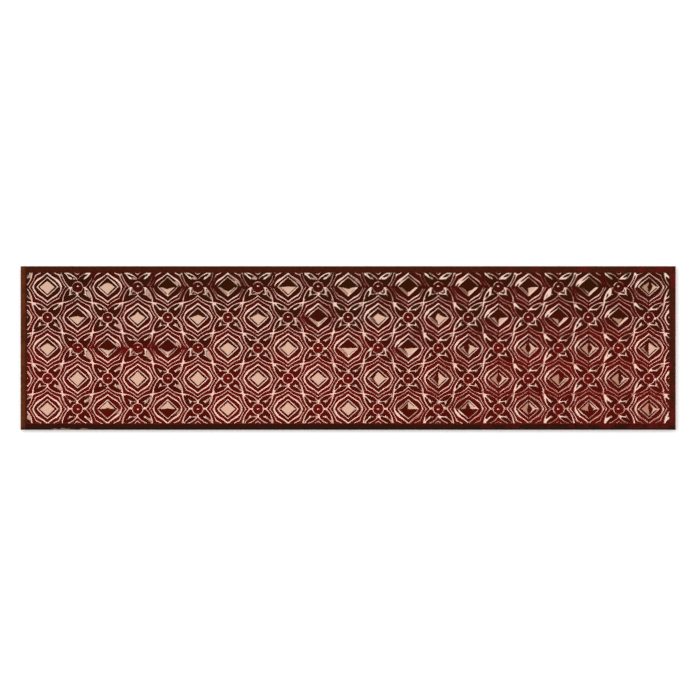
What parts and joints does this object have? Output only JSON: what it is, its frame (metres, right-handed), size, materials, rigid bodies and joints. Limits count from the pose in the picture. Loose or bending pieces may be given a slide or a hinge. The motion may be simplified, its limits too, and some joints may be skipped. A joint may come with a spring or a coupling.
{
  "type": "relief wall tile, glass",
  "caption": "Long rectangular glass tile with a moulded lattice of ogee lozenges and four-leaf flowers inside a narrow plain border.",
  "frame": {"origin": "centre of the tile's back face, which it rests on", "axes": "+X along the tile's length, +Y across its width, +Z out of the decorated face"},
  "size_m": [0.3, 0.075, 0.008],
  "materials": {
    "glass_tile": "glossy"
  },
  "bodies": {
    "root": {"glass_tile": "glass_tile"}
  },
  "joints": []
}
